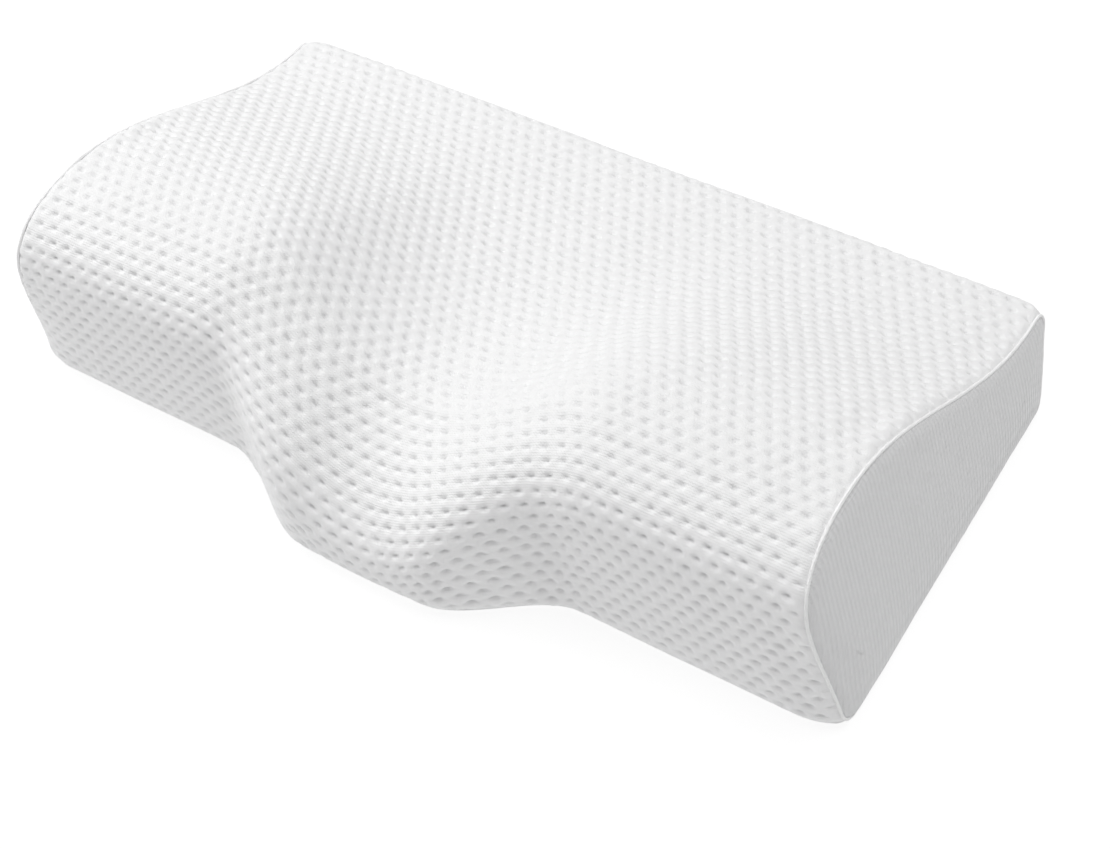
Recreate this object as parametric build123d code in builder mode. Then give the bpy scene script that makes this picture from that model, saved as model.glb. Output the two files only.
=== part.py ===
from build123d import *
from math import cos, sin, pi, radians
import os

# A butterfly-shaped memory-foam neck pillow in a zipped knitted cover, in millimetres.
# X runs along the pillow, -Y is the neck side, +Z is up. The origin is under the middle
# of its box, on the surface that it rests on.

# Overall form
LENGTH = 500.0  # end to end, at the base
DEPTH = 294.0  # back face to the tip of the neck lobe
WING_HEIGHT = 124.0  # crest of the two side wings
NECK_HEIGHT = 80.0  # crest of the low middle, under the neck
BACK_HEIGHT = 59.0  # along the back edge
NECK_REACH = 32.0  # the neck lobe stands this far in front of the wings
END_LEAN = 0.204  # each end leans in by this much for each unit of height

# The neck lobe and the head dip, as distances from the middle
LOBE_FLAT = 36.0  # the lobe's front is straight out to here
LOBE_SPAN = 106.0  # and meets the wings' front here
DIP_SPAN = 126.0  # the dip meets the wings' crest here
DIP_SPREAD = 81.0  # and is this much wider at the back edge

# The front edge, given for the wings and for the neck lobe
WING_CREST, LOBE_CREST = 52.5, 69.0  # crest line, behind the front face
WING_NOSE, LOBE_NOSE = 84.0, 24.0  # height where the front face starts to curl back
WING_POWER, LOBE_POWER = 2.4, 1.6  # fullness of that curl: 2 is an ellipse
FACE_LEAN = 4.0  # degrees, front face
REAR_SKEW = 1.1  # the rear slope is steepest this much nearer the crest

# Edges and the back face
BACK_ROUND = 10.0
BACK_LEAN = 15.0  # degrees, the back face leans in towards the base
BASE_ROUND = 13.0
END_ROUND = 8.0
FRONT_CORNER, BACK_CORNER = 26.0, 17.0  # the ends' upright edges are rounded this much more
CORNER_TURN = 0.85  # sine of the angle that these rounds turn through
CORNER_FADE = 80.0  # they fade out this far from the front and from the back
SLICES = (0, 22, 42, 58, 74, 90, 110, 145, 195, 222, 233)  # from the middle, to the end rounds

# Layers, as depths below the outer surface
COVER = 2.0
LINER_OUT, LINER_IN = 3.3, 4.0
FOAM = 4.4
LINER_SEAM = 5.0  # the liner's end panels turn in to here
WELT = 0.7  # the raised seams stand proud by this much
END_SEAM, END_SEAM_WIDTH = 2.3, 1.8  # where the end panels stop, and the seam starts
BASE_SEAM, BASE_SEAM_WIDTH = 2.4, 1.2  # the same, above the base
SEAM_GAP = 0.1  # between the base seams and the end seams

# Zipper, on the back face
ZIP_LENGTH = 430.0
ZIP_HEIGHT = 28.0  # middle of the chain
ZIP_WINDOW = 9.4  # opening between the cover's lips
ZIP_LIP = 1.25  # thickness of the cover's lips
ZIP_POCKET = 24.6  # room for the tapes behind the lips
FIT_GAP = 1.0  # the window and the pocket are longer than the zipper
END_MARGIN = 8.0  # tape past each end of the chain
CHAIN_SLIT = 1.2  # gap between the two rows, where the slider's web runs
TAPE_WIDTH, TAPE_THICK, TAPE_DEPTH = 11.5, 0.6, 1.95
COIL_WIDTH, COIL_THICK, COIL_ROUND = 2.3, 1.4, 0.5
STOP_LENGTH, STOP_THICK, STOP_ROUND = 3.0, 1.7, 0.4
STITCH_OFFSET, STITCH_WIDTH, STITCH_RISE = 6.2, 0.7, 0.35
TACK_WIDTH = 1.4

# Slider and pull tab
PLATE_LENGTH, PLATE_WIDTH, PLATE_THICK = 10.0, 7.6, 0.7
PLATE_CORNER, PLATE_ROUND = 2.0, 0.25
PLATE_GAP = 0.3  # from the plates to the coil and to the tapes
FLANGE_WIDTH, FLANGE_DROP = 0.6, 1.25
WEB_LENGTH, WEB_THICK = 3.0, 0.6
BRIDGE_SPAN, BRIDGE_WIDTH, BRIDGE_RISE, BRIDGE_THICK = 6.0, 2.0, 1.7, 0.8
PULL_LENGTH, PULL_WIDTH, PULL_THICK = 23.0, 5.4, 1.0
PULL_WINDOW, PULL_WINDOW_WIDTH = 5.5, 2.8
PULL_EYE, PULL_CORNER = 1.2, 2.2

os.makedirs("parts", exist_ok=True)


def mix(a, b, t):
    """From a at t 0 to b at t 1."""
    return a + (b - a) * t


def ease(t):
    """A smooth step from 0 to 1."""
    t = max(0.0, min(1.0, t))
    return t * t * (3 - 2 * t)


def bell(x, span):
    """1 in the middle, falling smoothly to 0 at span."""
    return 0.5 * (1 + cos(pi * min(abs(x) / span, 1.0)))


def arc_points(y, z, radius, start, end, count):
    """Points along an arc about (y, z), between two angles in degrees."""
    angles = [radians(mix(start, end, i / count)) for i in range(count + 1)]
    return [(y + radius * cos(a), z + radius * sin(a)) for a in angles]


def line_points(start, end, count):
    """The points that divide a line into equal steps, without its ends."""
    steps = [i / count for i in range(1, count)]
    return [(mix(start[0], end[0], t), mix(start[1], end[1], t)) for t in steps]


def outline(x):
    """The pillow's outline at x, as (y, z) points from the front of the base, over the top,
    to the back of the base."""
    dip = bell(x, DIP_SPAN)
    reach = ease((LOBE_SPAN - abs(x)) / (LOBE_SPAN - LOBE_FLAT))
    front = -DEPTH / 2 + NECK_REACH * (1 - reach)
    nose = mix(WING_NOSE, LOBE_NOSE, dip)
    crest = mix(WING_HEIGHT, NECK_HEIGHT, dip)
    crest_y = front + mix(WING_CREST, LOBE_CREST, dip)
    power = mix(WING_POWER, LOBE_POWER, dip)

    # front face, from a round at the base up to the nose
    lean = radians(FACE_LEAN)
    round_y = front + BASE_ROUND / cos(lean) + (nose - BASE_ROUND) * sin(lean) / cos(lean)
    points = arc_points(round_y, BASE_ROUND, BASE_ROUND, -90, FACE_LEAN - 180, 4)
    points += line_points(points[-1], (front, nose), 3)

    # a superellipse from the nose back to the crest
    for i in range(11):
        angle = pi / 2 * i / 10
        across = cos(angle) ** (2 / power)
        rise = sin(angle) ** (2 / power)
        points.append((mix(crest_y, front, across), mix(nose, crest, rise)))

    # the rear slope, from the crest down to the back edge
    edge_y = DEPTH / 2 - BACK_ROUND
    for i in range(1, 13):
        back = i / 12
        dip_here = bell(x, DIP_SPAN + DIP_SPREAD * back)
        crest_here = mix(WING_HEIGHT, NECK_HEIGHT, dip_here)
        rise = ease((1 - back) ** REAR_SKEW)
        points.append((mix(crest_y, edge_y, back), mix(BACK_HEIGHT, crest_here, rise)))

    # back edge, leaning back face, and the round at the base
    points += arc_points(edge_y, BACK_HEIGHT - BACK_ROUND, BACK_ROUND, 90, -BACK_LEAN, 4)[1:]
    below = arc_points(base_back_y(), BASE_ROUND, BASE_ROUND, -BACK_LEAN, -90, 4)
    return points + line_points(points[-1], below[0], 5) + below


def base_back_y():
    """Centre of the round at the back of the base, which touches the leaning back face."""
    across, up = cos(radians(BACK_LEAN)), -sin(radians(BACK_LEAN))
    face = back_face_offset() - BASE_ROUND
    return (face - BASE_ROUND * up) / across


def back_face_offset():
    """Distance from the origin to the back face's plane, along its normal."""
    across, up = cos(radians(BACK_LEAN)), -sin(radians(BACK_LEAN))
    edge_y, edge_z = DEPTH / 2 - BACK_ROUND, BACK_HEIGHT - BACK_ROUND
    return edge_y * across + edge_z * up + BACK_ROUND


def inset(points, depth):
    """The outline moved inwards by depth, square to itself."""
    moved = []
    last = len(points) - 1
    for i, (y, z) in enumerate(points):
        before, after = points[max(i - 1, 0)], points[min(i + 1, last)]
        run = Vector(after[0] - before[0], after[1] - before[1])
        if i in (0, last):
            run = Vector(-1, 0)
        inward = Vector(run.Y, -run.X).normalized()
        moved.append((y + inward.X * depth, z + inward.Y * depth))
    return moved


def corner_cut(x, radius):
    """How far an end's upright edge is drawn in at x."""
    over = CORNER_TURN * max(0.0, (abs(x) - LENGTH / 2 + radius) / radius)
    over = min(over, CORNER_TURN)
    return radius * (1 - (1 - over * over) ** 0.5)


def round_corners(x, points):
    """The (y, z) points at x, drawn in at the ends' upright edges: over the whole back, but
    only below the nose at the front."""
    front_face, back_face = NECK_REACH - DEPTH / 2, DEPTH / 2
    moved = []
    for y, z in points:
        near_front = max(0.0, min(1.0, (front_face + CORNER_FADE - y) / CORNER_FADE))
        near_back = max(0.0, min(1.0, (y - back_face + CORNER_FADE) / CORNER_FADE))
        y += corner_cut(x, FRONT_CORNER) * near_front * (1 - ease(z / WING_NOSE))
        y -= corner_cut(x, BACK_CORNER) * near_back
        moved.append((y, z))
    return moved


def leaning_plane(x):
    """The plane of the slice at x, which leans in as the ends do. Its x is the pillow's Y."""
    slope = x * END_LEAN / (LENGTH / 2)
    return Plane(origin=(x, 0, 0), x_dir=(0, 1, 0), z_dir=(1, 0, slope))


def chord_shares(points):
    """Where each point lies along the outline, from 0 to 1."""
    steps = [(Vector(*b) - Vector(*a)).length for a, b in zip(points, points[1:])]
    return [sum(steps[:i]) / sum(steps) for i in range(len(points))]


def stations(depth):
    """Each slice's x and how far it is moved in, for the form that lies depth under the
    surface: the last three draw it in round the end panel."""
    radius = END_ROUND - depth
    straight = LENGTH / 2 - END_ROUND
    half = [(x, depth) for x in (*SLICES, straight)]
    for turn in (pi / 6, pi / 3, pi / 2):
        half.append((straight + radius * sin(turn), depth + radius * (1 - cos(turn))))
    return [(-x, shrink) for x, shrink in reversed(half[1:])] + half


def form(depth):
    """The pillow's solid form, depth under its outer surface, lofted along X."""
    shares = chord_shares(outline(LENGTH / 4))
    with BuildPart() as body:
        for x, shrink in stations(depth):
            slant = (1 + (x * END_LEAN / (LENGTH / 2)) ** 2) ** 0.5
            section = round_corners(x, inset(outline(x), shrink))
            slice_points = [Vector(y, z * slant) for y, z in section]
            with BuildSketch(leaning_plane(x)):
                with BuildLine():
                    add(Edge.make_spline(slice_points, parameters=shares))
                    Line(slice_points[-1], slice_points[0])
                make_face()
        loft(ruled=True)
    return body.part


def end_plane(side, depth):
    """The plane depth inside the end panel on that side, facing out."""
    panel = leaning_plane(side * (LENGTH / 2 - depth))
    return panel if side > 0 else -panel


def zip_plane(x):
    """The back face's plane at x along the chain, facing out, with its y up the face."""
    across, up = cos(radians(BACK_LEAN)), -sin(radians(BACK_LEAN))
    y = (back_face_offset() - ZIP_HEIGHT * up) / across
    return Plane(origin=(x, y, ZIP_HEIGHT), x_dir=(-1, 0, 0), z_dir=(0, across, up))


def across_chain(plane):
    """The plane that cuts across the chain: its x is up the back face, its y is outwards."""
    return Plane(origin=plane.origin, x_dir=plane.y_dir, z_dir=plane.x_dir)


def along_chain(plane):
    """The plane that cuts along the chain: its x is along it, its y is outwards."""
    return Plane(origin=plane.origin, x_dir=plane.x_dir, z_dir=-plane.y_dir)


def finish(builder, name):
    """Labels a finished piece and writes it."""
    builder.part.label = name
    export_step(builder.part, f"parts/{name}.step")


OUTER = form(0)
COVER_INSIDE = form(COVER)
LINER_OUTSIDE = form(LINER_OUT)
LINER_INSIDE = form(LINER_IN)
WELT_OUTSIDE = form(-WELT)
SIDES = {"left": -1, "right": 1}
FLANKS = {"front": Keep.TOP, "back": Keep.BOTTOM}
ROWS = {"upper": 1, "lower": -1}


# ---- foam core: one moulded block ----

with BuildPart() as foam_core:
    add(form(FOAM))
finish(foam_core, "foam_core")


# ---- liner: a thin sleeve with a panel at each end, sewn shut round the foam ----

with BuildPart() as liner_wrap:
    add(LINER_OUTSIDE)
    add(LINER_INSIDE, mode=Mode.SUBTRACT)
    for side in SIDES.values():
        split(bisect_by=end_plane(side, LINER_SEAM), keep=Keep.BOTTOM)
finish(liner_wrap, "liner_wrap")

for word, side in SIDES.items():
    with BuildPart() as liner_end:
        add(LINER_OUTSIDE)
        add(LINER_INSIDE, mode=Mode.SUBTRACT)
        split(bisect_by=end_plane(side, LINER_SEAM), keep=Keep.TOP)
    finish(liner_end, f"liner_end_{word}")


# ---- cover: a knitted wrap, a base panel and two end panels ----

with BuildPart() as cover_wrap:
    add(OUTER)
    add(COVER_INSIDE, mode=Mode.SUBTRACT)
    for side in SIDES.values():
        split(bisect_by=end_plane(side, END_SEAM + END_SEAM_WIDTH), keep=Keep.BOTTOM)
    split(bisect_by=Plane.XY.offset(BASE_SEAM + BASE_SEAM_WIDTH), keep=Keep.TOP)
    with BuildSketch(zip_plane(0).offset(-ZIP_LIP)):
        Rectangle(ZIP_LENGTH + FIT_GAP, ZIP_WINDOW)
    extrude(amount=2 * ZIP_LIP, mode=Mode.SUBTRACT)
    with BuildSketch(zip_plane(0).offset(-ZIP_LIP)):
        Rectangle(ZIP_LENGTH + 2 * END_MARGIN + FIT_GAP, ZIP_POCKET)
    extrude(amount=-COVER, mode=Mode.SUBTRACT)
finish(cover_wrap, "cover_wrap")

with BuildPart() as cover_base:
    add(OUTER)
    add(COVER_INSIDE, mode=Mode.SUBTRACT)
    for side in SIDES.values():
        split(bisect_by=end_plane(side, END_SEAM + END_SEAM_WIDTH), keep=Keep.BOTTOM)
    split(bisect_by=Plane.XY.offset(BASE_SEAM), keep=Keep.BOTTOM)
finish(cover_base, "cover_base")

for word, side in SIDES.items():
    with BuildPart() as cover_end:
        add(OUTER)
        add(COVER_INSIDE, mode=Mode.SUBTRACT)
        split(bisect_by=end_plane(side, END_SEAM), keep=Keep.TOP)
    finish(cover_end, f"cover_end_{word}")


# ---- raised seams: one round each end panel, one along each side of the base panel ----

for word, side in SIDES.items():
    with BuildPart() as end_seam:
        add(WELT_OUTSIDE)
        add(COVER_INSIDE, mode=Mode.SUBTRACT)
        split(bisect_by=end_plane(side, END_SEAM + END_SEAM_WIDTH), keep=Keep.TOP)
        split(bisect_by=end_plane(side, END_SEAM), keep=Keep.BOTTOM)
    finish(end_seam, f"end_seam_{word}")

for word, flank in FLANKS.items():
    with BuildPart() as base_seam:
        add(WELT_OUTSIDE)
        add(COVER_INSIDE, mode=Mode.SUBTRACT)
        split(bisect_by=Plane.XY.offset(BASE_SEAM + BASE_SEAM_WIDTH), keep=Keep.BOTTOM)
        split(bisect_by=Plane.XY.offset(BASE_SEAM), keep=Keep.TOP)
        for side in SIDES.values():
            split(bisect_by=end_plane(side, END_SEAM + END_SEAM_WIDTH + SEAM_GAP), keep=Keep.BOTTOM)
        split(bisect_by=Plane.XZ, keep=flank)
    finish(base_seam, f"base_seam_{word}")


# ---- zipper: two tapes, two rows of coil, a stop at each end, and the sewing round it ----

TAPE_TOP = TAPE_THICK - TAPE_DEPTH  # heights here are from the back face
COIL_TOP = TAPE_TOP + COIL_THICK
COIL_LENGTH = ZIP_LENGTH - 2 * END_MARGIN
TAPE_LENGTH = ZIP_LENGTH + 2 * END_MARGIN

for word, way in ROWS.items():
    with BuildPart() as tape:
        with BuildSketch(zip_plane(0).offset(-TAPE_DEPTH)):
            with Locations((0, way * (CHAIN_SLIT + TAPE_WIDTH) / 2)):
                Rectangle(TAPE_LENGTH, TAPE_WIDTH)
        extrude(amount=TAPE_THICK)
    finish(tape, f"zip_tape_{word}")

    with BuildPart() as coil:
        with BuildSketch(across_chain(zip_plane(COIL_LENGTH / 2))):
            with Locations((way * (CHAIN_SLIT + COIL_WIDTH) / 2, TAPE_TOP + COIL_THICK / 2)):
                RectangleRounded(COIL_WIDTH, COIL_THICK, COIL_ROUND)
        extrude(amount=COIL_LENGTH)
    finish(coil, f"zip_coil_{word}")

    with BuildPart() as stitch:
        with BuildSketch(zip_plane(0).offset(-STITCH_RISE)):
            with Locations((0, way * STITCH_OFFSET)):
                Rectangle(ZIP_LENGTH, STITCH_WIDTH)
        extrude(amount=2 * STITCH_RISE)
    finish(stitch, f"zip_stitch_{word}")

for word, side in SIDES.items():
    with BuildPart() as stop:
        with BuildSketch(zip_plane(side * (COIL_LENGTH + STOP_LENGTH) / 2).offset(TAPE_TOP)):
            Rectangle(STOP_LENGTH, CHAIN_SLIT + 2 * COIL_WIDTH)
        extrude(amount=STOP_THICK)
        fillet(stop.edges().filter_by(Axis.X).group_by(Axis.Y)[-1], STOP_ROUND)
    finish(stop, f"zip_stop_{word}")

    with BuildPart() as tack:
        with BuildSketch(zip_plane(side * (ZIP_LENGTH + 2 * TACK_WIDTH) / 2).offset(-STITCH_RISE)):
            Rectangle(TACK_WIDTH, ZIP_WINDOW + 2 * TACK_WIDTH)
        extrude(amount=2 * STITCH_RISE)
    finish(tack, f"zip_tack_{word}")


# ---- slider: two plates joined by a web, side flanges, and a bridge for the pull tab ----

SLIDER_X = COIL_LENGTH / 2 - PLATE_LENGTH / 2
SLIDER = zip_plane(SLIDER_X)
TOP_PLATE = COIL_TOP + PLATE_GAP
TOP_PLATE_FACE = TOP_PLATE + PLATE_THICK
BOTTOM_PLATE = -TAPE_DEPTH - PLATE_GAP
PIVOT = TOP_PLATE_FACE + BRIDGE_RISE / 2

with BuildPart() as slider_body:
    with BuildSketch(SLIDER.offset(BOTTOM_PLATE)):
        RectangleRounded(PLATE_LENGTH, PLATE_WIDTH, PLATE_CORNER)
    extrude(amount=-PLATE_THICK)
    with BuildSketch(SLIDER.offset(TOP_PLATE)):
        RectangleRounded(PLATE_LENGTH, PLATE_WIDTH, PLATE_CORNER)
    extrude(amount=PLATE_THICK)
    with BuildSketch(SLIDER.offset(TOP_PLATE)):
        for way in ROWS.values():
            with Locations((0, way * (PLATE_WIDTH - FLANGE_WIDTH) / 2)):
                Rectangle(PLATE_LENGTH - 2 * PLATE_CORNER, FLANGE_WIDTH)
    extrude(amount=-FLANGE_DROP)
    with BuildSketch(SLIDER.offset(BOTTOM_PLATE)):
        with Locations((PLATE_LENGTH / 2 - WEB_LENGTH / 2 - PLATE_ROUND, 0)):
            Rectangle(WEB_LENGTH, WEB_THICK)
    extrude(amount=TOP_PLATE - BOTTOM_PLATE)
    with BuildSketch(along_chain(SLIDER)):
        with Locations((0, TOP_PLATE_FACE)):
            Rectangle(BRIDGE_SPAN, BRIDGE_RISE + BRIDGE_THICK, align=(Align.CENTER, Align.MIN))
        fillet(vertices().group_by(Axis.Y)[-1], BRIDGE_THICK)
        with Locations((0, TOP_PLATE_FACE)):
            Rectangle(
                BRIDGE_SPAN - 2 * BRIDGE_THICK,
                BRIDGE_RISE,
                align=(Align.CENTER, Align.MIN),
                mode=Mode.SUBTRACT,
            )
    extrude(amount=BRIDGE_WIDTH / 2, both=True)
finish(slider_body, "slider_body")


# ---- pull tab: a flat tongue, whose crossbar lies under the bridge ----

with BuildPart() as pull_tab:
    with BuildSketch(SLIDER.offset(PIVOT - PULL_THICK / 2)):
        Rectangle(PULL_LENGTH, PULL_WIDTH, align=(Align.MIN, Align.CENTER))
        fillet(vertices().group_by(Axis.X)[-1], PULL_CORNER)
        with Locations((PULL_THICK / 2, 0)):
            Rectangle(
                PULL_WINDOW,
                PULL_WINDOW_WIDTH,
                align=(Align.MIN, Align.CENTER),
                mode=Mode.SUBTRACT,
            )
        with Locations((PULL_LENGTH - PULL_CORNER - PULL_EYE, 0)):
            Circle(PULL_EYE, mode=Mode.SUBTRACT)
    extrude(amount=PULL_THICK)
    with BuildSketch(along_chain(SLIDER)):
        with Locations((0, PIVOT)):
            Circle(PULL_THICK / 2)
    extrude(amount=PULL_WIDTH / 2, both=True)
finish(pull_tab, "pull_tab")

print("slider rests at", SLIDER.origin, "pivot at", SLIDER.from_local_coords(Vector(0, 0, PIVOT)))
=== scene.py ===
"""A white butterfly-shaped neck pillow: its dimpled knitted cover, plain ribbed end panels,
piped seams and back zipper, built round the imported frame. Everything is in metres."""

from math import cos, pi, radians, sin

import bmesh
import bpy
import numpy as np
from mathutils import Matrix, Vector, noise


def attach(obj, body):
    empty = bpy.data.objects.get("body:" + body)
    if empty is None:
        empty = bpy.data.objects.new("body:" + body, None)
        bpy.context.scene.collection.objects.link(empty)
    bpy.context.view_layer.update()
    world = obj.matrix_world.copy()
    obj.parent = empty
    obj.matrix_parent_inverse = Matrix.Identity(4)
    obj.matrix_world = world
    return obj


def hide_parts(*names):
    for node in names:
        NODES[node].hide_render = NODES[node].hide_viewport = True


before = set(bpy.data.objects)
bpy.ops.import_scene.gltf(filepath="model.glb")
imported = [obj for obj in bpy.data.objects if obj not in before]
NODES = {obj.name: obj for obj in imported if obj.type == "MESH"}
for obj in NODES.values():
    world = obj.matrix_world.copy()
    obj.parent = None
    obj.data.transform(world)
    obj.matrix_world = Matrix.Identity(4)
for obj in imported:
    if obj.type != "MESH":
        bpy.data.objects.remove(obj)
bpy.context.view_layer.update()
BODY = "pillow"

# ---- the pillow's form, as in the CAD ----

LENGTH, DEPTH = 0.500, 0.294
WING_HEIGHT, NECK_HEIGHT, BACK_HEIGHT = 0.124, 0.080, 0.059
NECK_REACH = 0.032
END_LEAN = 0.204
LOBE_FLAT, LOBE_SPAN = 0.036, 0.106
DIP_SPAN, DIP_SPREAD = 0.126, 0.081
WING_CREST, LOBE_CREST = 0.0525, 0.069
WING_NOSE, LOBE_NOSE = 0.084, 0.024
WING_POWER, LOBE_POWER = 2.4, 1.6
FACE_LEAN, BACK_LEAN = radians(4), radians(15)
REAR_SKEW = 1.1
BACK_ROUND, BASE_ROUND, END_ROUND = 0.010, 0.013, 0.008
FRONT_CORNER, BACK_CORNER = 0.026, 0.017  # extra rounding of the ends' upright edges
CORNER_TURN, CORNER_FADE = 0.85, 0.080
OUT_Y, OUT_Z = cos(BACK_LEAN), -sin(BACK_LEAN)  # the back face's outward direction
EDGE_Y, EDGE_Z = DEPTH / 2 - BACK_ROUND, BACK_HEIGHT - BACK_ROUND  # the middle of its upper round
BACK_FACE = EDGE_Y * OUT_Y + EDGE_Z * OUT_Z + BACK_ROUND  # how far out the back face lies
CURVE_POINTS, ROUND_POINTS, EDGE_POINTS = 70, 14, 16  # points along each part of an outline
BACK_POINTS = EDGE_POINTS - 1 + ROUND_POINTS  # the points of the upper round and the base's
WING_X = 0.2  # a place in the wings, where the outline hardly changes

# ---- the cover ----

SEAM_IN = 0.0032  # the end seams' middle, in from the end panels' face
SEAM_X = LENGTH / 2 - SEAM_IN
SEAM_TURN = np.arcsin(1 - SEAM_IN / END_ROUND)  # how far round the end's round the seam lies
ZIP_HEIGHT = 0.028
WINDOW, WINDOW_LENGTH = 0.0094, 0.431
COLUMN, ROW = 0.00100, 0.00080  # grid steps along and round the pillow
BASE_RIM = 0.0090  # the base panel turns up this far, to the base seams
RIM_POINTS, BASE_STATIONS, BASE_ROWS = 8, 180, 50
TUCK = 0.0018  # the wrap's ends turn in by this much under the piping
HEM, HEM_ROOM = 0.0012, 0.003  # the window's turned-in edge, and how far past its ends to look
SWELL_ROWS, SWELL_COLUMNS, SWELL_FRAMES = 72, 80, 20  # the cloth simulation's grid and length
SWELL_PRESSURE, SWELL_CAP = 4.0, 0.0012
ZIP_HOLD, SEAM_HOLD = 0.020, 0.001  # the simulation holds the cloth this near the zipper and seams

# The wrap's unevenness: slow slack all over, and puckers and a groove beside the end seams.
SLACK, SLACK_SIZE = 0.0005, 0.055
PUCKER, PUCKER_SIZE, PUCKER_STRETCH, PUCKER_REACH = 0.00045, 0.0065, 0.15, 0.006
GROOVE, GROOVE_REACH = 0.0003, 0.0014
# How far from the end seams, the base seams and the window the pattern or the relief fades.
HOLLOW_END_FADE, PUFF_END_FADE = 0.0025, 0.004
HOLLOW_BASE_FADE, BASE_FADE = 0.012, 0.006
WINDOW_FADE, WINDOW_HOLLOW, WINDOW_EDGE = 0.006, 0.85, 0.0001
# Over the tapes the relief is this share of its height. It grows back this far past them, and
# the tapes reach this far past the window's ends.
TAPE_FLAT, TAPE_FADE, TAPE_END = 0.4, 0.004, 0.008

END_POINTS, END_RIM_RINGS, END_RINGS = 340, 8, 34
END_CROWN = 0.0022  # the foam swells the end panels by this much
SPINE_SHARE, SPINE_END = 0.78, 0.105  # the end panels' rings close on a line: its share, its end
SPINE_FRONT, SPINE_BACK = 0.040, 0.030  # and its height at the front and at the back
END_SLACK, END_SLACK_SIZE = 0.0006, 0.05
WRINKLE, WRINKLE_SIZE, WRINKLE_STRETCH = 0.0004, 0.007, (0.2, 1, 1)
WRINKLE_START, WRINKLE_FADE = 0.05, 0.10  # as shares of the rings, counted in from the seam
END_TUCK, END_TUCK_LIFT = 0.985, 0.0007  # the end panels' rim, shrunk and lifted under the piping
MERGE = 0.00005  # points nearer than this become one

PIPING, PIPING_POINTS, PIPING_OUT = 0.00085, 860, 0.00015
PIPING_WANDER, PIPING_WANDER_SIZE = 0.00022, 0.010
BASE_PIPING, BASE_PIPING_POINTS, BASE_PIPING_OUT = 0.0006, 480, (0.64, -0.77)
CORD_UNEVEN = 0.004  # the length of a cord's thick and thin stretches

# ---- the zipper ----

ZIP_LENGTH, COIL_LENGTH, COIL_PITCH = 0.430, 0.414, 0.0014
COIL_UP, COIL_WIDE = 0.00175, 0.00105  # a row's middle, up from the chain's, and its wire's swing
COIL_OUT, COIL_DEEP = -0.00065, 0.00042  # the same, out from the back face
COIL_WIRE, COIL_POINTS = 0.00027, 12
STITCH_PITCH, STITCH_UP = 0.0031, 0.0062
STITCH_SHARE, STITCH_SLANT, STITCH_THREAD = 0.8, 0.0002, 0.00032
THREAD_OUT = 0.0001
THREAD_SIDES = 7
THREAD_SHAPE = ((0, 0.25), (0.12, 0.75), (0.5, 1.0), (0.88, 0.75), (1, 0.25))  # along, thickness
TAPE_REACH = 0.0125  # the tapes' far edges, up or down from the chain
TACK_WIDTH, TACK_UP, TACK_STEP = 0.0014, 0.0060, 0.00048
TACK_TILT, TACK_THREAD = 0.00016, 0.00030

# The knit's dimples lie on a lattice: the step along a row, and the step to the next row.
DIMPLE_STEP = (0.00968, -0.0004)
DIMPLE_NEXT = (0.00553, -0.00760)
DIMPLE_DEPTH = 0.0012
DIMPLE_WIDE, DIMPLE_TALL = 0.0019, 0.0009  # half its width and height
DIMPLE_STRAY = 0.0008  # a dimple's place along its row varies by this much
PUFF_HEIGHT = 0.0010  # the knit swells between the dimples
PUFF_WIDE, PUFF_TALL = 0.0046, 0.0036  # how far from a dimple's middle it is full


def mix(a, b, t):
    return a + (b - a) * t


def ease(t):
    t = np.clip(t, 0.0, 1.0)
    return t * t * (3 - 2 * t)


def bell(x, span):
    return 0.5 * (1 + np.cos(pi * np.minimum(np.abs(x) / span, 1.0)))


def arc(y, z, radius, start, end, count):
    a = np.linspace(start, end, count)
    return np.stack([y + radius * np.cos(a), z + radius * np.sin(a)], axis=1)


def outline(x):
    """The outline at x, as (y, z) from the front of the base, over the top, to the back."""
    dip = bell(x, DIP_SPAN)
    reach = ease((LOBE_SPAN - abs(x)) / (LOBE_SPAN - LOBE_FLAT))
    front = -DEPTH / 2 + NECK_REACH * (1 - reach)
    nose = mix(WING_NOSE, LOBE_NOSE, dip)
    crest = mix(WING_HEIGHT, NECK_HEIGHT, dip)
    crest_y = front + mix(WING_CREST, LOBE_CREST, dip)
    power = mix(WING_POWER, LOBE_POWER, dip)

    lean = np.tan(FACE_LEAN)
    round_y = front + BASE_ROUND / cos(FACE_LEAN) + (nose - BASE_ROUND) * lean
    base_front = arc(round_y, BASE_ROUND, BASE_ROUND, -pi / 2, FACE_LEAN - pi, ROUND_POINTS)
    a = np.linspace(0, pi / 2, CURVE_POINTS)
    curl = np.stack(
        [mix(crest_y, front, np.cos(a) ** (2 / power)), mix(nose, crest, np.sin(a) ** (2 / power))],
        axis=1,
    )
    back = np.linspace(0, 1, CURVE_POINTS)[1:]
    crest_here = mix(WING_HEIGHT, NECK_HEIGHT, bell(x, DIP_SPAN + DIP_SPREAD * back))
    slope = np.stack(
        [mix(crest_y, EDGE_Y, back), mix(BACK_HEIGHT, crest_here, ease((1 - back) ** REAR_SKEW))],
        axis=1,
    )
    edge = arc(EDGE_Y, EDGE_Z, BACK_ROUND, pi / 2, -BACK_LEAN, EDGE_POINTS)[1:]
    base_y = (BACK_FACE - BASE_ROUND - BASE_ROUND * OUT_Z) / OUT_Y
    base_back = arc(base_y, BASE_ROUND, BASE_ROUND, -BACK_LEAN, -pi / 2, ROUND_POINTS)
    return np.concatenate([base_front, curl, slope, edge, base_back])


def arc_length(points):
    steps = np.hypot(*np.diff(points, axis=0).T)
    return np.concatenate([[0], np.cumsum(steps)])


def at_lengths(points, where, s=None):
    """The points on a polyline at the given distances along it. s is each point's distance."""
    s = arc_length(points) if s is None else s
    return np.stack([np.interp(where, s, points[:, 0]), np.interp(where, s, points[:, 1])], axis=1)


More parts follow.
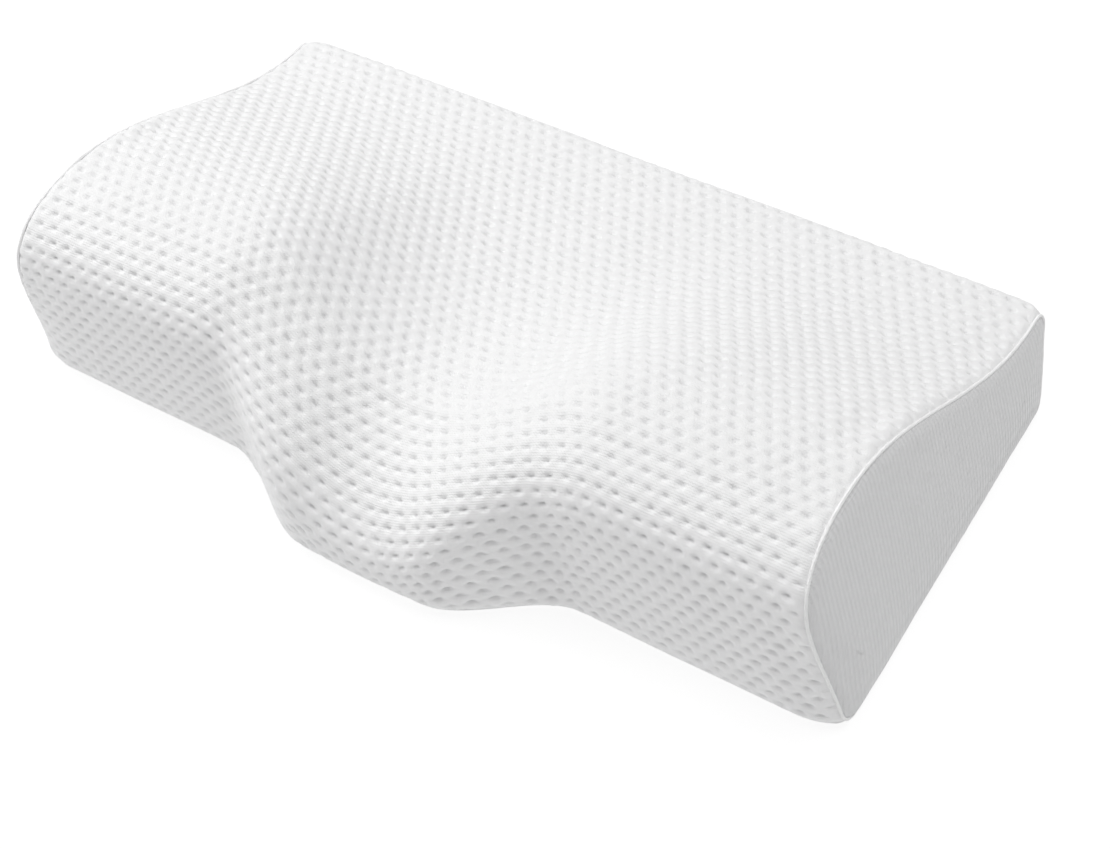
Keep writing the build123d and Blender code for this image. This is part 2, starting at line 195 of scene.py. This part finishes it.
def shrink_at(x):
    """How far the end's round draws the outline in at x."""
    over = min(1.0, max(0.0, (abs(x) - (LENGTH / 2 - END_ROUND)) / END_ROUND))
    return END_ROUND * (1 - (1 - over * over) ** 0.5)


def corner_cut(x, radius):
    """How far an end's upright edge is drawn in at x."""
    over = CORNER_TURN * np.clip((abs(x) - LENGTH / 2 + radius) / radius, 0, 1)
    return radius * (1 - (1 - over * over) ** 0.5)


def slant(z):
    """The pillow's length at height z, as a share of its length at the base."""
    return 1 - z * END_LEAN / (LENGTH / 2)


WINDOW_X = WINDOW_LENGTH / 2 / slant(ZIP_HEIGHT)  # the window's end, as it would be at the base


def lean_in(x, points):
    """Stands (y, z) points at x, drawn in at the upright edges and leaning in as the ends do."""
    y, z = points[:, 0], points[:, 1]
    near_front = np.clip((NECK_REACH - DEPTH / 2 + CORNER_FADE - y) / CORNER_FADE, 0, 1)
    near_back = np.clip((y - DEPTH / 2 + CORNER_FADE) / CORNER_FADE, 0, 1)
    out = np.empty((len(points), 3))
    out[:, 1:] = points
    out[:, 1] += corner_cut(x, FRONT_CORNER) * near_front * (1 - ease(z / WING_NOSE))
    out[:, 1] -= corner_cut(x, BACK_CORNER) * near_back
    out[:, 0] = x * slant(z)
    return out


def inset(points, depth):
    """The outline moved inwards, square to itself."""
    run = np.gradient(points, axis=0)
    run[0] = run[-1] = (-1, 0)
    run /= np.hypot(*run.T)[:, None]
    return points + np.stack([run[:, 1], -run[:, 0]], axis=1) * depth


def lumps(points, size, seed):
    """Smooth noise between -1 and 1 at each point."""
    shift = Vector((seed * 3.7, seed * 1.3, seed * 2.9))
    return np.array([noise.noise(Vector(p) / size + shift) for p in points])


# ---- meshes ----


def link(name, data):
    obj = bpy.data.objects.new(name, data)
    bpy.context.scene.collection.objects.link(obj)
    return obj


def new_object(name, verts, faces):
    mesh = bpy.data.meshes.new(name)
    mesh.from_pydata([tuple(v) for v in verts], [], faces)
    mesh.validate()
    mesh.polygons.foreach_set("use_smooth", [True] * len(mesh.polygons))
    mesh.update()
    return link(name, mesh)


def grid_faces(rows, columns, closed=False):
    """Quads of a grid of vertices, row after row. closed joins the last column to the first."""
    faces = []
    last = columns if closed else columns - 1
    for r in range(rows - 1):
        for c in range(last):
            d = (c + 1) % columns
            low, high = r * columns, (r + 1) * columns
            faces.append((low + c, low + d, high + d, high + c))
    return faces


def spaced(start, end, step):
    return np.linspace(start, end, max(2, round(abs(end - start) / step) + 1))


def dimple(x, s):
    """The knit's pattern at distance x along and s round the pillow, as two heights: the
    dimples' depth, about 1 at their middles, and the puffs between them, 0 at the dimples."""
    basis = np.array([DIMPLE_STEP, DIMPLE_NEXT]).T
    here = np.stack([x.ravel(), s.ravel()])
    whole = np.linalg.solve(basis, here)
    nearest = np.full(x.size, np.inf)
    hollow = np.zeros(x.size)
    for i in (0, 1):
        for j in (0, 1):
            at = np.floor(whole) + np.array([[i], [j]])
            dx, ds = here - basis @ at
            # each dimple differs a little, by a number from 0 to 1 that its place gives
            odd = np.sin(at[0] * 12.9898 + at[1] * 78.233) * 43758.5453
            odd -= np.floor(odd)
            dx = dx + DIMPLE_STRAY * (odd - 0.5)
            wide = DIMPLE_WIDE * (0.85 + 0.4 * odd)
            across = (np.abs(dx) / wide) ** 2.6 + (np.abs(ds) / DIMPLE_TALL) ** 2
            hollow = np.maximum(hollow, (0.75 + 0.35 * odd) * np.exp(-across))
            nearest = np.minimum(nearest, np.hypot(dx / PUFF_WIDE, ds / PUFF_TALL))
    return hollow.reshape(x.shape), ease(nearest).reshape(x.shape)


def swell(grid, held):
    """How far out each point of a panel moves when it is let go as cloth: pressed out by the
    foam, which also keeps it from sinking in, held where held is true, and capped."""
    rows = np.unique(np.linspace(0, grid.shape[0] - 1, SWELL_ROWS).round().astype(int))
    columns = np.unique(np.linspace(0, grid.shape[1] - 1, SWELL_COLUMNS).round().astype(int))
    coarse = grid[np.ix_(rows, columns)]
    sheet = new_object("swell", coarse.reshape(-1, 3), grid_faces(len(rows), len(columns)))
    pins = sheet.vertex_groups.new(name="held")
    pins.add([int(i) for i in np.flatnonzero(held[np.ix_(rows, columns)])], 1.0, "REPLACE")
    settings = sheet.modifiers.new("cloth", "CLOTH").settings
    settings.vertex_group_mass = "held"
    settings.use_pressure = True
    settings.uniform_pressure_force = SWELL_PRESSURE
    settings.effector_weights.gravity = 0
    scene = bpy.context.scene
    for number in range(1, SWELL_FRAMES + 1):
        scene.frame_set(number)
    settled = sheet.evaluated_get(bpy.context.evaluated_depsgraph_get()).data
    places = np.empty(coarse.size, dtype=np.float32)
    settled.vertices.foreach_get("co", places)
    moved = places.reshape(coarse.shape) - coarse
    scene.frame_set(1)
    bpy.data.objects.remove(sheet)
    out = np.maximum((moved * surface_normals(coarse)).sum(axis=2), 0)
    out = SWELL_CAP * np.tanh(out / SWELL_CAP)
    across = np.array([np.interp(np.arange(grid.shape[1]), columns, row) for row in out])
    return np.array([np.interp(np.arange(grid.shape[0]), rows, line) for line in across.T]).T


def surface_normals(grid):
    along = np.gradient(grid, axis=0)
    along[0], along[-1] = along[1], along[-2]
    around = np.gradient(grid, axis=1)
    n = np.cross(around, along)
    return n / np.linalg.norm(n, axis=2)[:, :, None]


def wrap_grid():
    """The wrap's points before its relief, as columns at each distance along the pillow. Gives
    those distances, the points, each point's distance round from the back of the base, the
    distance round to the zipper's middle, and the first and last row of its window."""
    xs = np.concatenate([
        [-SEAM_X],
        spaced(-SEAM_X, -WINDOW_X, COLUMN)[:-1],
        spaced(-WINDOW_X, WINDOW_X, COLUMN)[:-1],
        spaced(WINDOW_X, SEAM_X, COLUMN),
        [SEAM_X],
    ])
    wing = outline(WING_X)
    marks = arc_length(wing)
    total = marks[-1]
    zip_at = total - np.interp(-ZIP_HEIGHT, -wing[-BACK_POINTS:, 1], marks[-BACK_POINTS:])
    window_low, window_high = zip_at - WINDOW / 2, zip_at + WINDOW / 2
    lower = spaced(BASE_RIM, window_low, ROW)
    gap = spaced(window_low, window_high, ROW)
    upper_count = round((total - window_high) / ROW)
    grid, lengths = [], []
    for x in xs:
        points = outline(x)
        marks = arc_length(points)
        length = marks[-1]
        upper = np.linspace(window_high, length - BASE_RIM, upper_count + 1)
        where = np.concatenate([lower[:-1], gap[:-1], upper])
        grid.append(lean_in(x, at_lengths(inset(points, shrink_at(x)), length - where, marks)))
        lengths.append(where)
    low = len(lower) - 1
    return xs, np.array(grid), np.array(lengths), zip_at, low, low + len(gap) - 1


def wrap_relief(grid, stations, lengths, zip_at):
    """How far out each point of the wrap stands, and how deep in a dimple it is, up to about 1."""
    off_chain = np.abs(lengths - zip_at)
    off_window = np.abs(stations) - WINDOW_X
    from_end = SEAM_X - np.abs(stations)
    from_base = np.minimum(lengths - lengths[:, :1], lengths[:, -1:] - lengths)

    held = (off_chain < ZIP_HOLD) & (np.abs(stations) < WINDOW_X + ZIP_HOLD)
    held |= (np.abs(stations) > SEAM_X - SEAM_HOLD) | (lengths < BASE_RIM + SEAM_HOLD)
    held |= lengths > lengths[:, -1:] - SEAM_HOLD
    swelling = swell(grid, held)
    slack = lumps(grid.reshape(-1, 3), SLACK_SIZE, 1).reshape(stations.shape)
    drawn = np.stack([lengths, stations * PUCKER_STRETCH, 0 * lengths], axis=2)
    pucker = lumps(drawn.reshape(-1, 3), PUCKER_SIZE, 2).reshape(stations.shape)
    pulled = np.exp(-from_end / PUCKER_REACH)
    groove = np.exp(-((from_end / GROOVE_REACH) ** 2))

    hollow, puff = dimple(stations, lengths)
    hollow *= 1 - np.exp(-from_end / HOLLOW_END_FADE)
    puff = mix(puff, 1, np.exp(-from_end / PUFF_END_FADE))
    from_window = np.maximum(off_chain - WINDOW / 2, off_window)
    near_zip = np.clip(1 - from_window / WINDOW_FADE, 0, 1) * (from_window > -WINDOW_EDGE)
    hollow *= 1 - WINDOW_HOLLOW * near_zip
    puff = mix(puff, 1, near_zip)
    # the tapes behind the knit hold it flatter
    off_tape = np.maximum(off_chain - TAPE_REACH, off_window - TAPE_END)
    flat = mix(TAPE_FLAT, 1.0, ease(off_tape / TAPE_FADE))
    hollow *= np.clip(from_base / HOLLOW_BASE_FADE, 0, 1)
    raised = (
        PUFF_HEIGHT * flat * (puff - 1)
        - DIMPLE_DEPTH * flat * hollow
        + swelling
        + SLACK * slack
        + PUCKER * pucker * pulled
        - GROOVE * groove
    )
    return raised * np.clip(from_base / BASE_FADE, 0, 1), hollow


def turn_hem(mesh):
    """Turns the edge of the zipper's window in."""

    def at_window(co):
        beside = abs(co.x) < WINDOW_LENGTH / 2 + HEM_ROOM
        return beside and co.y > 0 and abs(co.z - ZIP_HEIGHT) < WINDOW

    bm = bmesh.new()
    bm.from_mesh(mesh)
    rim = [e for e in bm.edges if e.is_boundary and all(at_window(v.co) for v in e.verts)]
    for made in bmesh.ops.extrude_edge_only(bm, edges=rim)["geom"]:
        if isinstance(made, bmesh.types.BMVert):
            made.co -= Vector((0, OUT_Y, OUT_Z)) * HEM
    bm.to_mesh(mesh)
    bm.free()


def build_wrap():
    """The dimpled wrap: a grid over the front, the top and the back, open at the zipper. Its
    material reads how deep each point is in a dimple, and its place along and round."""
    xs, grid, lengths, zip_at, low, high = wrap_grid()
    stations = np.repeat(xs[:, None], grid.shape[1], axis=1)
    normals = surface_normals(grid)
    raised, hollow = wrap_relief(grid, stations, lengths, zip_at)
    grid = grid + normals * raised[:, :, None]
    # the ends are turned in, under the piping
    grid[0] -= normals[0] * TUCK
    grid[-1] -= normals[-1] * TUCK

    columns = grid.shape[1]
    faces = []
    for c in range(len(xs) - 1):
        open_here = abs(xs[c] + xs[c + 1]) / 2 < WINDOW_X
        for r in range(columns - 1):
            if not (open_here and low <= r < high):
                a = c * columns + r
                faces.append((a, a + 1, a + columns + 1, a + columns))
    obj = new_object("wrap_fabric", grid.reshape(-1, 3), faces)
    # the depth in a dimple, which the cover's material also uses to paint shade into the hollows
    depth = obj.data.attributes.new("hollow", "FLOAT", "POINT")
    depth.data.foreach_set("value", hollow.ravel().astype(np.float32))
    grain = obj.data.attributes.new("grain", "FLOAT_VECTOR", "POINT")
    along = np.stack([stations, lengths, 0 * lengths], axis=2)
    grain.data.foreach_set("vector", along.ravel().astype(np.float32))
    turn_hem(obj.data)
    return obj


def end_loop(x, count):
    """The closed outline at x near an end, drawn in by the end's round, as (y, z) points."""
    points = inset(outline(x), shrink_at(x))
    points = np.concatenate([points, points[:1]])
    return at_lengths(points, np.linspace(0, arc_length(points)[-1], count + 1)[:-1])


def build_end(side, word):
    """A plain end panel: rounded in from the seam, then slightly crowned by the foam."""
    loops = []
    for turn in np.linspace(SEAM_TURN, pi / 2, END_RIM_RINGS):
        x = LENGTH / 2 - END_ROUND + END_ROUND * sin(turn)
        loops.append(lean_in(x, end_loop(x, END_POINTS)))
    rim = loops[-1]
    spine = rim.copy()
    spine[:, 1] = np.clip(rim[:, 1] * SPINE_SHARE, -SPINE_END, SPINE_END)
    spine[:, 2] = mix(SPINE_FRONT, SPINE_BACK, (rim[:, 1] + DEPTH / 2) / DEPTH)
    spine[:, 0] = LENGTH / 2 * slant(spine[:, 2])
    for t in np.linspace(0, 1, END_RINGS)[1:]:
        loop = mix(rim, spine, t)
        loop[:, 0] += END_CROWN * (1 - (1 - t) ** 2)
        loops.append(loop)
    grid = np.array(loops)
    points = grid.reshape(-1, 3)  # the same numbers, so it changes with the grid
    depth_in = np.repeat(np.arange(len(loops)), END_POINTS) / len(loops)
    points[:, 0] += END_SLACK * lumps(points, END_SLACK_SIZE, 4 + side)
    wrinkle = lumps(points * WRINKLE_STRETCH, WRINKLE_SIZE, 7 + side)
    wrinkle *= np.exp(-depth_in / WRINKLE_FADE)
    points[:, 0] += WRINKLE * wrinkle * (depth_in > WRINKLE_START)
    # the rim is turned in, under the piping
    tucked = grid[:1] * [1, END_TUCK, END_TUCK] + [0, 0, END_TUCK_LIFT]
    grid = np.concatenate([tucked, grid])
    grid[:, :, 0] *= side
    faces = grid_faces(len(grid), END_POINTS, closed=True)
    if side > 0:
        faces = [f[::-1] for f in faces]
    obj = new_object(f"end_fabric_{word}", grid.reshape(-1, 3), faces)
    bm = bmesh.new()
    bm.from_mesh(obj.data)
    bmesh.ops.remove_doubles(bm, verts=bm.verts, dist=MERGE)
    bmesh.ops.recalc_face_normals(bm, faces=bm.faces)
    bm.to_mesh(obj.data)
    bm.free()
    return obj


def tube(path, outward, radius, sides=8, closed=True, rough=0.12, seed=1):
    """A slightly uneven cord along a path, whose outward side is given at each point."""
    ahead = np.roll(path, -1, axis=0) - np.roll(path, 1, axis=0)
    if not closed:
        ahead[0], ahead[-1] = path[1] - path[0], path[-1] - path[-2]
    ahead /= np.linalg.norm(ahead, axis=1)[:, None]
    across = np.cross(ahead, outward)
    across /= np.linalg.norm(across, axis=1)[:, None]
    out = np.cross(across, ahead)
    girth = radius * (1 + rough * lumps(path, CORD_UNEVEN, seed))
    rings = []
    for a in np.linspace(0, 2 * pi, sides, endpoint=False):
        rings.append(path + (across * cos(a) + out * sin(a)) * girth[:, None])
    verts = np.array(rings).transpose(1, 0, 2).reshape(-1, 3)
    faces = grid_faces(len(path), sides, closed=True)
    if closed:
        last = (len(path) - 1) * sides
        faces += [(last + i, last + (i + 1) % sides, (i + 1) % sides, i) for i in range(sides)]
    return verts, faces


def build_end_piping(side, word):
    """The raised seam round an end panel."""
    path = lean_in(SEAM_X, end_loop(SEAM_X, PIPING_POINTS))
    run = np.roll(path, -1, axis=0) - np.roll(path, 1, axis=0)
    outward = np.stack([0 * run[:, 0], -run[:, 2], run[:, 1]], axis=1)
    outward /= np.linalg.norm(outward, axis=1)[:, None]
    outward = outward * cos(SEAM_TURN) + np.array([sin(SEAM_TURN), 0, 0])
    wander = PIPING_WANDER * lumps(path, PIPING_WANDER_SIZE, 11 + side)
    path = path + outward * (PIPING_OUT + wander)[:, None]
    path[:, 0] *= side
    outward[:, 0] *= side
    verts, faces = tube(path, outward, PIPING, seed=5 + side)
    return new_object(f"end_piping_{word}", verts, faces)


def base_rim(x, back):
    """The points of the base's round, from the base seam down to the flat of the base."""
    points = inset(outline(x), shrink_at(x))
    if back:
        points = points[::-1]
    return at_lengths(points, np.linspace(BASE_RIM, 0, RIM_POINTS))


def build_base():
    """The base panel, with the rim that turns up to the base seams."""
    grid = []
    for x in np.linspace(-SEAM_X, SEAM_X, BASE_STATIONS):
        front, back = base_rim(x, False), base_rim(x, True)
        flat = mix(front[-1:], back[-1:], np.linspace(0, 1, BASE_ROWS)[1:-1, None])
        grid.append(lean_in(x, np.concatenate([front, flat, back[::-1]])))
    grid = np.array(grid)
    return new_object("base_fabric", grid.reshape(-1, 3), grid_faces(*grid.shape[:2]))


def build_base_piping(back, word):
    """The seam along the front or the back of the base panel."""
    xs = np.linspace(-SEAM_X, SEAM_X, BASE_PIPING_POINTS)
    path = np.concatenate([lean_in(x, base_rim(x, back)[:1]) for x in xs])
    out_y, out_z = BASE_PIPING_OUT
    outward = np.tile([0, (1 if back else -1) * out_y, out_z], (len(path), 1))
    verts, faces = tube(path, outward, BASE_PIPING, sides=6, closed=False, seed=9)
    return new_object(f"base_piping_{word}", verts, faces)


# ---- the zipper ----


def zip_point(x, up, out):
    """A point of the back face: x along the pillow, up the face from the chain, out from it."""
    y = (BACK_FACE - ZIP_HEIGHT * OUT_Z) / OUT_Y - OUT_Z * up + OUT_Y * out
    z = ZIP_HEIGHT + OUT_Y * up + OUT_Z * out
    return np.stack([x + 0 * up, y, z], axis=-1)


def build_coil(way, word):
    """One row of the chain: a nylon wire wound in long turns along its tape."""
    turns = round(COIL_LENGTH / COIL_PITCH)
    t = np.arange(turns * COIL_POINTS + 1) / COIL_POINTS
    angle = 2 * pi * t
    x = (t - turns / 2) * COIL_PITCH * way
    up = way * (COIL_UP - COIL_WIDE * np.cos(angle))
    path = zip_point(x, up, COIL_OUT + COIL_DEEP * np.sin(angle))
    reach = 0.001  # any distance gives the same direction
    beyond = zip_point(x, up - way * reach * np.cos(angle), COIL_OUT + reach * np.sin(angle))
    outward = beyond - zip_point(x, up, COIL_OUT)
    verts, faces = tube(path, outward, COIL_WIRE, sides=6, closed=False, rough=0.0)
    return new_object(f"coil_{word}", verts, faces)


def capsules(ends, radius, name):
    """Short threads between pairs of points, fatter in the middle."""
    verts, faces = [], []
    last_ring = (len(THREAD_SHAPE) - 1) * THREAD_SIDES
    for a, b in ends:
        a, b = Vector(a), Vector(b)
        ahead = (b - a).normalized()
        side = ahead.cross(Vector((0, OUT_Y, OUT_Z))).normalized()
        out = side.cross(ahead)
        start = len(verts)
        for t, r in THREAD_SHAPE:
            for k in range(THREAD_SIDES):
                spin = 2 * pi * k / THREAD_SIDES
                verts.append(a.lerp(b, t) + (side * cos(spin) + out * sin(spin)) * radius * r)
        walls = grid_faces(len(THREAD_SHAPE), THREAD_SIDES, closed=True)
        faces += [tuple(start + i for i in f) for f in walls]
        faces.append(tuple(start + i for i in range(THREAD_SIDES)))
        faces.append(tuple(start + last_ring + i for i in reversed(range(THREAD_SIDES))))
    return new_object(name, verts, faces)


def build_stitching(way, word):
    """A line of separate stitches along a tape."""
    count = round(ZIP_LENGTH / STITCH_PITCH)
    up = way * STITCH_UP
    ends = []
    for i in range(count):
        x = (i - count / 2) * STITCH_PITCH
        along = np.array([x, x + STITCH_PITCH * STITCH_SHARE])
        ends.append(zip_point(along, np.array([up, up + STITCH_SLANT]), THREAD_OUT))
    return capsules(ends, STITCH_THREAD, f"stitching_{word}")


def build_tack(side, word):
    """A bar tack: a short satin stitch across the end of the zipper's window."""
    middle = side * (ZIP_LENGTH / 2 + TACK_WIDTH)
    along = np.array([middle - TACK_WIDTH / 2, middle + TACK_WIDTH / 2])
    ends = []
    for i, up in enumerate(np.arange(-TACK_UP, TACK_UP + TACK_STEP / 40, TACK_STEP)):
        tilt = TACK_TILT * (-1) ** i
        ends.append(zip_point(along, np.array([up - tilt, up + tilt]), THREAD_OUT))
    return capsules(ends, TACK_THREAD, f"tack_{word}")


# ---- materials ----


class Shader:
    """Short ways to add and join the nodes of one material."""

    def __init__(self, name, colour, roughness, **sockets):
        self.material = bpy.data.materials.new(name)
        self.material.use_nodes = True
        self.nodes, self.links = self.material.node_tree.nodes, self.material.node_tree.links
        self.surface = self.nodes["Principled BSDF"]
        self.surface.inputs["Base Color"].default_value = (*colour, 1)
        self.surface.inputs["Roughness"].default_value = roughness
        for socket, value in sockets.items():
            self.surface.inputs[socket.replace("_", " ")].default_value = value
        self.place = self.nodes.new("ShaderNodeTexCoord").outputs["Object"]

    def node(self, kind, inputs=None, **settings):
        made = self.nodes.new("ShaderNode" + kind)
        for key, value in settings.items():
            setattr(made, key, value)
        for key, value in (inputs or {}).items():
            if isinstance(value, bpy.types.NodeSocket):
                self.links.new(value, made.inputs[key])
            else:
                made.inputs[key].default_value = value
        return made

    def noise(self, size, detail=2.0):
        """Noise with features about that size, in metres."""
        inputs = {"Vector": self.place, "Scale": 1 / size, "Detail": detail}
        return self.node("TexNoise", inputs).outputs["Fac"]

    def ribs(self, axis, size, wobble=0.0):
        """Ridges square to an axis, that far apart."""
        apart = self.node("SeparateXYZ", {"Vector": self.place}).outputs[axis]
        along = self.math("MULTIPLY", apart, 2 * pi / size)
        if wobble:
            along = self.math("ADD", along, self.math("MULTIPLY", self.noise(size * 6), wobble))
        return self.math("MULTIPLY_ADD", self.math("SINE", along), 0.5, 0.5)

    def stitches(self, wale, course):
        """Plain knitting: columns of V-shaped loops, a wale wide and a course high, that follow
        the cloth by its grain attribute."""
        place = self.node("Attribute", attribute_name="grain").outputs["Vector"]
        apart = self.node("SeparateXYZ", {"Vector": place}).outputs
        jitter = self.math("MULTIPLY", self.noise(0.008), 0.0008)
        side = self.math("PINGPONG", self.math("ADD", apart[0], jitter), wale / 2)
        slope = self.math("MULTIPLY", side, 0.9)
        leg = self.math("ADD", self.math("ADD", apart[1], jitter), slope)
        loop = self.math("SINE", self.math("MULTIPLY", leg, 2 * pi / course))
        column = self.math("SINE", self.math("MULTIPLY", side, 2 * pi / wale))
        return self.math("MULTIPLY_ADD", self.math("MULTIPLY", loop, column), 0.5, 0.5)

    def math(self, operation, *values):
        return self.node("Math", dict(enumerate(values)), operation=operation).outputs[0]

    def blend(self, factor, a, b):
        """A colour between a and b, by factor."""
        made = self.node("Mix", {"Factor": factor}, data_type="RGBA")
        for socket, value in ((6, a), (7, b)):
            if isinstance(value, bpy.types.NodeSocket):
                self.links.new(value, made.inputs[socket])
            else:
                made.inputs[socket].default_value = (*value, 1)
        return made.outputs[2]

    def colour(self, socket):
        self.links.new(socket, self.surface.inputs["Base Color"])

    def bump(self, height, distance):
        """Raises the surface by height, on top of any bump so far."""
        made = self.node("Bump", {"Height": height, "Distance": distance, "Strength": 1.0})
        before = self.surface.inputs["Normal"]
        if before.is_linked:
            self.links.new(before.links[0].from_socket, made.inputs["Normal"])
        self.links.new(made.outputs["Normal"], before)


# painted shade in the knit's hollows: how strongly it darkens them, and the shade's colour
HOLLOW_SHADE_STRENGTH, HOLLOW_SHADE = 0.30, (0.55, 0.55, 0.56)
KNIT_WALE, KNIT_COURSE = 0.00170, 0.00130
RIB = 0.0031


def knit(name, light, dark, rib_bump=0.0, dimpled=False):
    """A soft white knit: fuzz, fine loops, and ribs if rib_bump gives their height. A dimpled
    knit has painted shade darkening its hollows, and its loops follow the cloth."""
    s = Shader(name, light, 0.92, Sheen_Weight=0.25, Sheen_Roughness=0.5)
    s.surface.inputs["Specular IOR Level"].default_value = 0.25
    tone_and_shade = s.blend(s.noise(0.004, 4.0), dark, light)
    if dimpled:
        # painted shade: the colour darkens with the depth in a dimple
        hollows = s.node("Attribute", attribute_name="hollow").outputs["Fac"]
        tone_and_shade = s.blend(s.math("MULTIPLY", hollows, HOLLOW_SHADE_STRENGTH), tone_and_shade, HOLLOW_SHADE)
        s.bump(s.stitches(KNIT_WALE, KNIT_COURSE), 0.00022)
        s.bump(s.noise(0.0035, 1.0), 0.0005)
    else:
        s.bump(s.math("MULTIPLY", s.ribs("X", 0.00095, 2.0), s.ribs("Z", 0.0011, 2.0)), 0.00018)
    s.colour(tone_and_shade)
    s.bump(s.noise(0.0009, 3.0), 0.00022)
    if rib_bump:
        s.bump(s.ribs("Y", RIB, 1.2), rib_bump)
    return s


def paint(obj, material):
    obj.data.materials.clear()
    obj.data.materials.append(material)


def add_piece(obj, shader, slot, *nodes):
    """Paints a piece, lets it ride on the pillow, and hides the nodes that it stands for."""
    paint(obj, shader.material)
    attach(obj, BODY)
    if nodes:
        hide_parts(*nodes)
    return obj


cover = knit("cover_knit", (0.93, 0.93, 0.93), (0.86, 0.86, 0.865), dimpled=True)
end_knit = knit("end_knit", (0.76, 0.76, 0.765), (0.69, 0.69, 0.695), rib_bump=0.00030)
base_knit = knit("base_knit", (0.86, 0.86, 0.86), (0.80, 0.80, 0.80), rib_bump=0.00020)
liner_knit = knit("liner_knit", (0.86, 0.86, 0.85), (0.80, 0.80, 0.79))
piping = knit("seam_fabric", (0.95, 0.95, 0.95), (0.88, 0.88, 0.88))

foam = Shader("foam", (0.93, 0.89, 0.76), 0.95)
foam.colour(foam.blend(foam.noise(0.02, 5.0), (0.90, 0.85, 0.70), (0.95, 0.91, 0.79)))
foam.bump(foam.noise(0.0012, 4.0), 0.0004)

thread = Shader("thread", (0.93, 0.93, 0.92), 0.7, Sheen_Weight=0.2)
thread.bump(thread.ribs("X", 0.0004, 0.5), 0.0001)

tape = Shader("zip_tape", (0.90, 0.90, 0.89), 0.85, Sheen_Weight=0.15)
tape.colour(tape.blend(tape.noise(0.003, 3.0), (0.84, 0.84, 0.83), (0.92, 0.92, 0.91)))
tape.bump(tape.math("MULTIPLY", tape.ribs("X", 0.0008), tape.ribs("Z", 0.0007)), 0.00022)

nylon = Shader("zip_nylon", (0.90, 0.90, 0.885), 0.32)
nylon.bump(nylon.noise(0.0006, 2.0), 0.00003)

nickel = Shader("nickel", (0.60, 0.60, 0.61), 0.30, Metallic=1.0)
nickel.colour(nickel.blend(nickel.noise(0.0025, 5.0), (0.52, 0.52, 0.53), (0.64, 0.64, 0.65)))
nickel.bump(nickel.noise(0.0010, 3.0), 0.00003)

# ---- the pieces ----

wrap = add_piece(build_wrap(), cover, "cover_knit", "cover_wrap")
add_piece(build_base(), base_knit, "cover_knit", "cover_base")
for side, word in ((-1, "left"), (1, "right")):
    panel = add_piece(build_end(side, word), end_knit, "end_knit", f"cover_end_{word}")
    add_piece(build_end_piping(side, word), piping, "seam_fabric", f"end_seam_{word}")
    add_piece(build_tack(side, word), thread, "thread", f"zip_tack_{word}")
for back, word in ((False, "front"), (True, "back")):
    add_piece(build_base_piping(back, word), piping, "seam_fabric", f"base_seam_{word}")
for way, word in ((1, "upper"), (-1, "lower")):
    add_piece(build_coil(way, word), nylon, "zip_nylon", f"zip_coil_{word}")
    add_piece(build_stitching(way, word), thread, "thread", f"zip_stitch_{word}")

for name, shader in (
    ("foam_core", foam),
    ("liner_wrap", liner_knit),
    ("liner_end_left", liner_knit),
    ("liner_end_right", liner_knit),
    ("zip_tape_upper", tape),
    ("zip_tape_lower", tape),
    ("zip_stop_left", nylon),
    ("zip_stop_right", nylon),
    ("slider_body", nickel),
    ("pull_tab", nickel),
):
    paint(NODES[name], shader.material)

# ---- stage, light and camera ----

FLOOR = 6.0  # half its width
SUN_FROM, SUN_SPREAD = (0.02, 0.16, 0.98), radians(40)
SOFT_PLACE, SOFT_SIZE = (-1.2, -0.35, 1.2), 1.2
CAMERA_PLACE, CAMERA_LENS = (0.4181, -0.5524, 0.7712), 61.91
CAMERA_TURN, CAMERA_DOWN, CAMERA_ROLL = radians(35.473), radians(49.038), radians(-4.651)

corners = [(-FLOOR, -FLOOR, 0), (FLOOR, -FLOOR, 0), (FLOOR, FLOOR, 0), (-FLOOR, FLOOR, 0)]
floor_mesh = bpy.data.meshes.new("floor")
floor_mesh.from_pydata(corners, [], [(0, 1, 2, 3)])
floor = link("floor", floor_mesh)
floor.location.z = 0.0002  # so that the base isn't level with it
ground = Shader("floor", (0.20, 0.20, 0.20), 0.9)
ground.surface.inputs["Emission Color"].default_value = (1, 1, 1, 1)
ground.surface.inputs["Emission Strength"].default_value = 0.82
paint(floor, ground.material)

world = bpy.data.worlds.new("studio")
world.use_nodes = True
world.node_tree.nodes["Background"].inputs["Color"].default_value = (1, 1, 1, 1)
world.node_tree.nodes["Background"].inputs["Strength"].default_value = 0.37
bpy.context.scene.world = world
bpy.context.scene.view_settings.view_transform = "Standard"


def add_light(name, kind, energy, source):
    """A light that shines from its source towards the origin."""
    data = bpy.data.lights.new(name, kind)
    data.energy = energy
    light = link(name, data)
    light.rotation_euler = Vector(source).to_track_quat("Z", "Y").to_euler()
    return light


sun = add_light("key", "SUN", 1.5, SUN_FROM)
sun.data.angle = SUN_SPREAD
soft = add_light("soft", "AREA", 12, SOFT_PLACE)
soft.location = SOFT_PLACE
soft.data.size = SOFT_SIZE

camera = link("camera", bpy.data.cameras.new("camera"))
camera.data.lens = CAMERA_LENS
camera.matrix_world = (
    Matrix.Translation(CAMERA_PLACE)
    @ Matrix.Rotation(CAMERA_TURN, 4, "Z")
    @ Matrix.Rotation(pi / 2 - CAMERA_DOWN, 4, "X")
    @ Matrix.Rotation(CAMERA_ROLL, 4, "Z")
)
bpy.context.scene.camera = camera
